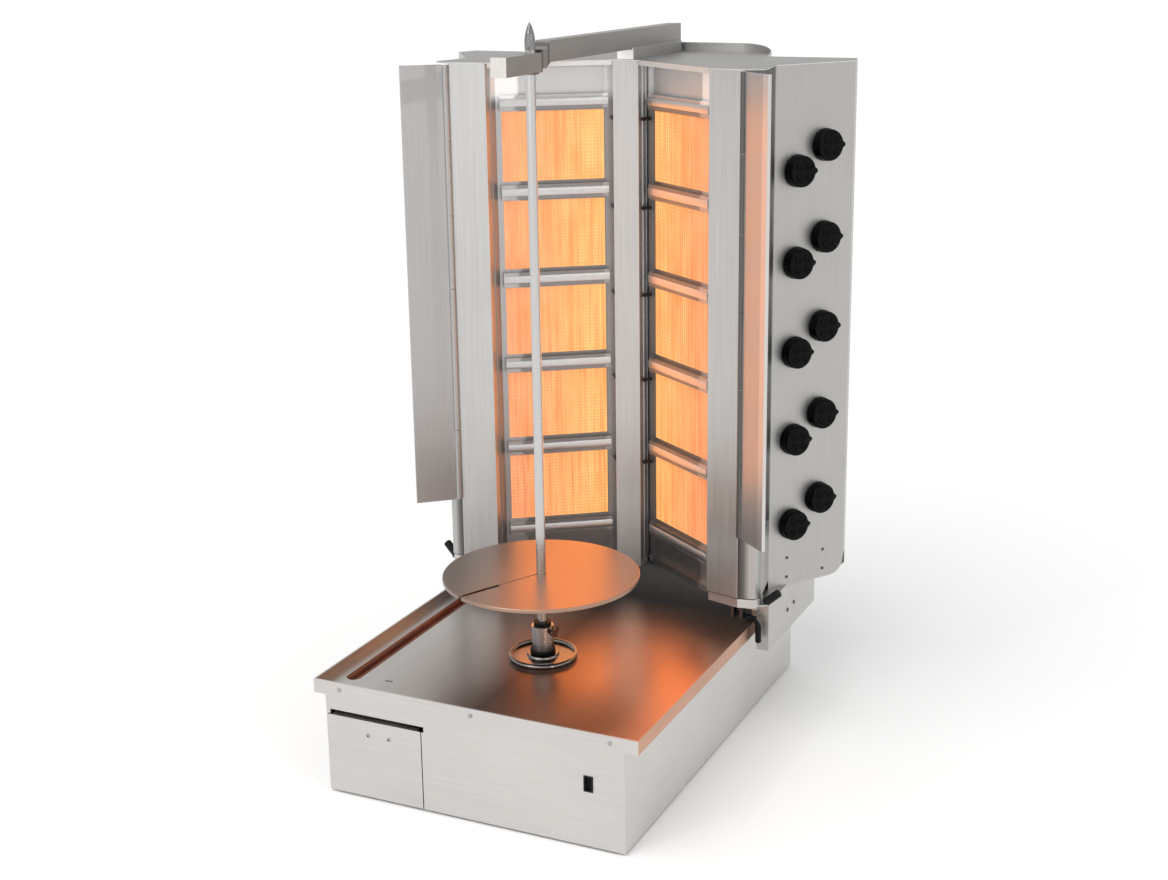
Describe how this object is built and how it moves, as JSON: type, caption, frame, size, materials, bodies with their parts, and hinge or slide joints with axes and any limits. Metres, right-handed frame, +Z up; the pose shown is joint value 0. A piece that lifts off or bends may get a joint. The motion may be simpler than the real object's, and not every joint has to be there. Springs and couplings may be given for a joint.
{
  "type": "vertical rotisserie broiler",
  "caption": "Gas gyros grill: motor-driven vertical spit before a V of infrared burners on a sliding tower with swinging side wings, gas knobs, a steadying top arm, drip tray and fat drawer.",
  "frame": {"origin": "on the floor under the middle of the whole footprint, from the front panel's screw heads to the gas inlet", "axes": "+Z up, front of the grill towards -Y, control panel with the gas knobs on the +X side"},
  "size_m": [0.72, 0.816, 1.156],
  "materials": {
    "stainless_body": "fine brushed stainless sheet",
    "tray_steel": "stainless tray, slightly stained by heat and fat",
    "steel_inner": "plain mill-finish stainless",
    "burner_steel": "stainless, warm with heat tint",
    "ceramic": "perforated ceramic tile glowing orange",
    "porcelain": "glazed white porcelain",
    "rubber_black": "matt black rubber",
    "plastic_black": "satin black plastic",
    "rocker_black": "glossy black plastic",
    "knob_black": "glossy black phenolic",
    "motor_paint": "dark grey paint",
    "machined_steel": "turned steel",
    "disc_steel": "stainless plate reflecting the burners",
    "gear_brass": "plain brass",
    "screw_steel": "bright steel",
    "lever_black": "black coated rod",
    "arm_steel": "darkened stainless"
  },
  "bodies": {
    "base": {"base_shell": "stainless_body", "front_panel": "stainless_body", "bottom_plate": "steel_inner", "rubber_feet": "rubber_black", "drip_tray": "tray_steel", "drawer_runners": "steel_inner", "switch_bezel": "plastic_black", "gear_motor": "motor_paint", "gearbox": "motor_paint", "bearing_housing": "motor_paint", "shaft_seal": "rubber_black", "splash_ring": "machined_steel", "cable_gland": "plastic_black", "base_screws": "screw_steel"},
    "spit": {"spit_socket": "machined_steel", "socket_cap": "plastic_black", "spit_rod": "machined_steel", "meat_disc": "disc_steel", "disc_collar": "machined_steel", "drive_shaft": "machined_steel", "drive_gear": "gear_brass"},
    "pinion": {"pinion": "machined_steel"},
    "wing_screw": {"wing_screw": "screw_steel"},
    "drawer": {"drawer_box": "steel_inner", "drawer_front": "stainless_body"},
    "rocker": {"rocker": "rocker_black"},
    "tower": {"carriage": "stainless_body", "skid_pads": "rubber_black", "side_grips": "plastic_black", "centre_post": "burner_steel", "front_strips": "stainless_body", "burner_frames": "burner_steel", "burner_tiles": "ceramic", "burner_plenums": "steel_inner", "electrodes": "porcelain", "control_housing": "stainless_body", "left_housing": "stainless_body", "rear_cover": "stainless_body", "top_cover": "stainless_body", "gas_pipework": "gear_brass", "gas_inlet": "gear_brass", "gas_valves": "gear_brass", "panel_screws": "screw_steel", "hinge_pins": "screw_steel", "arm_channel": "stainless_body"},
    "arm": {"top_arm": "arm_steel", "arm_bush": "gear_brass"},
    "right_wing": {"right_wing": "stainless_body"},
    "left_wing": {"left_wing": "stainless_body"},
    "clamp_lever": {"clamp_lever": "lever_black"},
    "knob_1": {"knob_1": "knob_black"},
    "knob_2": {"knob_2": "knob_black"},
    "knob_3": {"knob_3": "knob_black"},
    "knob_4": {"knob_4": "knob_black"},
    "knob_5": {"knob_5": "knob_black"},
    "knob_6": {"knob_6": "knob_black"},
    "knob_7": {"knob_7": "knob_black"},
    "knob_8": {"knob_8": "knob_black"},
    "knob_9": {"knob_9": "knob_black"},
    "knob_10": {"knob_10": "knob_black"}
  },
  "joints": [
    {"name": "spit_spin", "type": "hinge", "parent": "base", "child": "spit", "pos_m": [0, -0.164, 0.3], "axis": [0, 0, 1], "continuous": true},
    {"name": "pinion_spin", "type": "hinge", "parent": "base", "child": "pinion", "pos_m": [0.0603, -0.164, 0.102], "axis": [0, 0, 1], "continuous": true},
    {"name": "wing_screw_turn", "type": "hinge", "parent": "spit", "child": "wing_screw", "pos_m": [0, -0.164, 0.212], "axis": [1, 0, 0], "range_deg": [0, 720]},
    {"name": "drawer_slide", "type": "slide", "parent": "base", "child": "drawer", "axis": [0, -1, 0], "range_m": [0, 0.25]},
    {"name": "rocker_tilt", "type": "hinge", "parent": "base", "child": "rocker", "pos_m": [0.1925, -0.4, 0.1025], "axis": [1, 0, 0], "range_deg": [0, 22]},
    {"name": "tower_slide", "type": "slide", "parent": "base", "child": "tower", "axis": [0, 1, 0], "range_m": [-0.05, 0.05]},
    {"name": "arm_slide", "type": "slide", "parent": "tower", "child": "arm", "axis": [0, 1, 0], "range_m": [-0.05, 0.05]},
    {"name": "right_wing_swing", "type": "hinge", "parent": "tower", "child": "right_wing", "pos_m": [0.2567, 0.0347, 0.7], "axis": [0, 0, 1], "range_deg": [-45, 60]},
    {"name": "left_wing_swing", "type": "hinge", "parent": "tower", "child": "left_wing", "pos_m": [-0.2567, 0.0347, 0.7], "axis": [0, 0, -1], "range_deg": [-45, 60]},
    {"name": "clamp_lever_turn", "type": "hinge", "parent": "tower", "child": "clamp_lever", "pos_m": [0.252, 0.065, 0.198], "axis": [1, 0, 0], "range_deg": [-100, 0]},
    {"name": "knob_1_turn", "type": "hinge", "parent": "tower", "child": "knob_1", "pos_m": [0.32715, 0.216, 0.951], "axis": [0.8321, -0.5546, 0], "range_deg": [-90, 120]},
    {"name": "knob_2_turn", "type": "hinge", "parent": "tower", "child": "knob_2", "pos_m": [0.29692, 0.17065, 0.9135], "axis": [0.8321, -0.5546, 0], "range_deg": [-90, 120]},
    {"name": "knob_3_turn", "type": "hinge", "parent": "tower", "child": "knob_3", "pos_m": [0.32715, 0.216, 0.804], "axis": [0.8321, -0.5546, 0], "range_deg": [-90, 120]},
    {"name": "knob_4_turn", "type": "hinge", "parent": "tower", "child": "knob_4", "pos_m": [0.29692, 0.17065, 0.7665], "axis": [0.8321, -0.5546, 0], "range_deg": [-90, 120]},
    {"name": "knob_5_turn", "type": "hinge", "parent": "tower", "child": "knob_5", "pos_m": [0.32715, 0.216, 0.657], "axis": [0.8321, -0.5546, 0], "range_deg": [-90, 120]},
    {"name": "knob_6_turn", "type": "hinge", "parent": "tower", "child": "knob_6", "pos_m": [0.29692, 0.17065, 0.6195], "axis": [0.8321, -0.5546, 0], "range_deg": [-90, 120]},
    {"name": "knob_7_turn", "type": "hinge", "parent": "tower", "child": "knob_7", "pos_m": [0.32715, 0.216, 0.51], "axis": [0.8321, -0.5546, 0], "range_deg": [-90, 120]},
    {"name": "knob_8_turn", "type": "hinge", "parent": "tower", "child": "knob_8", "pos_m": [0.29692, 0.17065, 0.4725], "axis": [0.8321, -0.5546, 0], "range_deg": [-90, 120]},
    {"name": "knob_9_turn", "type": "hinge", "parent": "tower", "child": "knob_9", "pos_m": [0.32715, 0.216, 0.363], "axis": [0.8321, -0.5546, 0], "range_deg": [-90, 120]},
    {"name": "knob_10_turn", "type": "hinge", "parent": "tower", "child": "knob_10", "pos_m": [0.29692, 0.17065, 0.3255], "axis": [0.8321, -0.5546, 0], "range_deg": [-90, 120]}
  ],
  "couplings": [
    {"joint": "pinion_spin", "follows": "spit_spin", "ratio": -4},
    {"joint": "arm_slide", "follows": "tower_slide", "ratio": -1}
  ]
}
